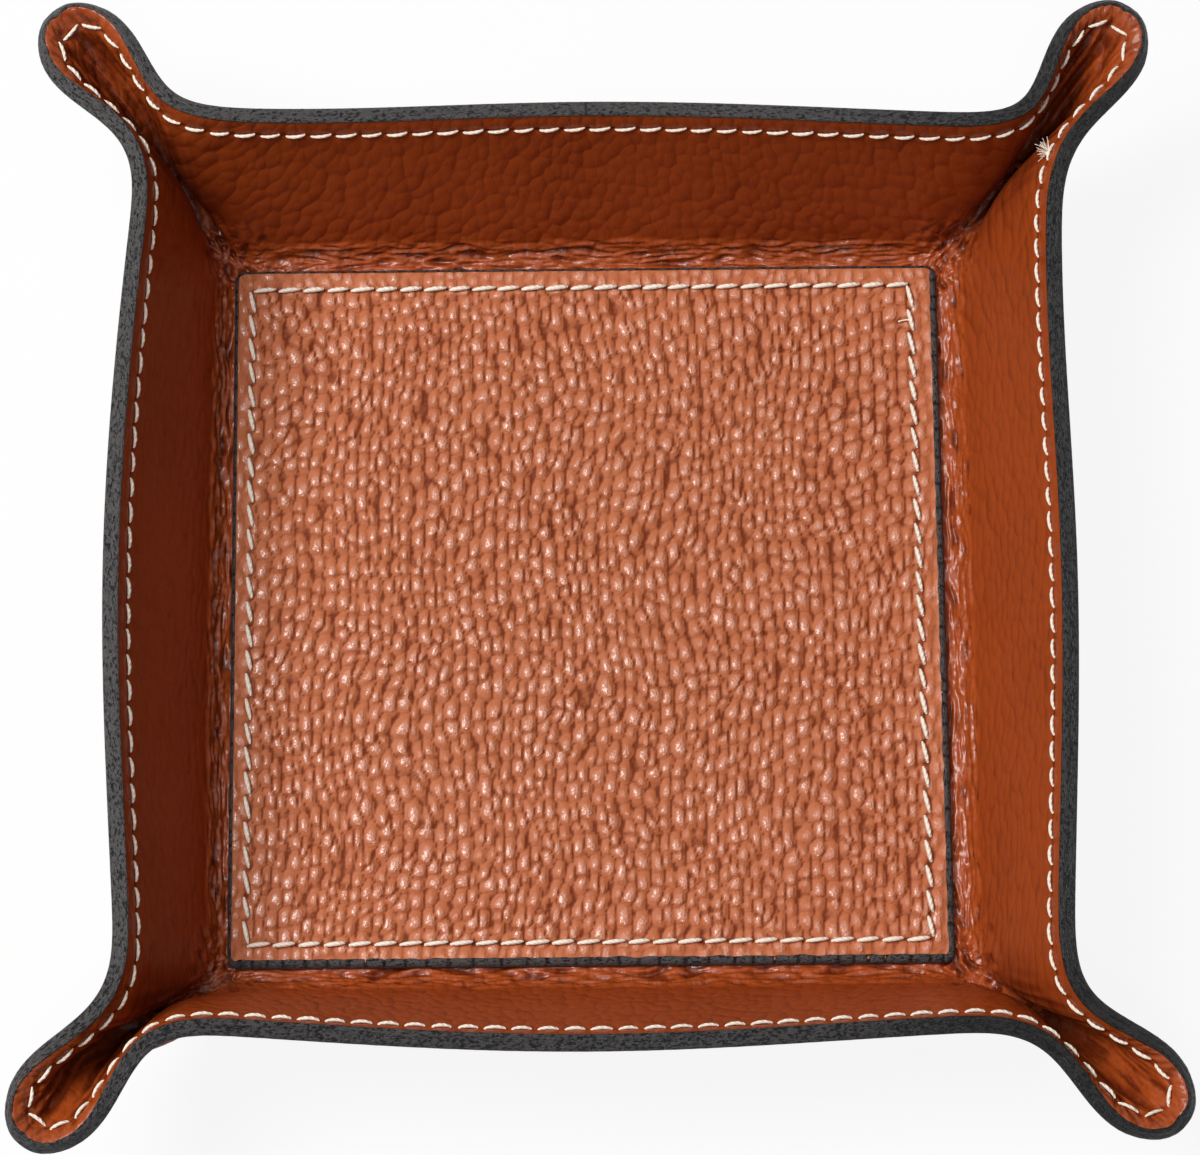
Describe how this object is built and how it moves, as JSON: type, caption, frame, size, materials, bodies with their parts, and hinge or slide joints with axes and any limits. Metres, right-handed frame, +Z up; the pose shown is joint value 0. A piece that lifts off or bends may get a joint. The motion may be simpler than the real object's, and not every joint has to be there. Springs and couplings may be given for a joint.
{
  "type": "leather valet tray",
  "caption": "Square folded leather tray with leaning walls, pinched open corner ears, painted cut edges and a stitched floor panel, for keys, coins and other pocket things.",
  "frame": {"origin": "middle of the flat floor, on the surface that the tray stands on", "axes": "+Z up out of the tray, -Y towards the front, +X to the right as seen from the front"},
  "size_m": [0.177, 0.1811, 0.0379],
  "materials": {
    "leather": "tan pebbled grain, soft sheen",
    "edge_paint": "black edge paint over fibrous cut leather",
    "thread": "cream waxed sewing thread",
    "tack_thread": "brown waxed sewing thread",
    "board": "bonded fibre board"
  },
  "bodies": {
    "root": {"outer_leather": "leather", "lining_leather": "leather", "rim_edge_paint": "edge_paint", "floor_panel_board": "board", "floor_panel_leather": "leather", "floor_panel_edge_paint": "edge_paint", "rim_stitches_inside": "thread", "rim_stitches_outside": "thread", "panel_stitches": "thread", "corner_tack_back_right": "tack_thread", "corner_tack_front_right": "tack_thread", "corner_tack_front_left": "tack_thread", "corner_tack_back_left": "tack_thread"}
  },
  "joints": []
}
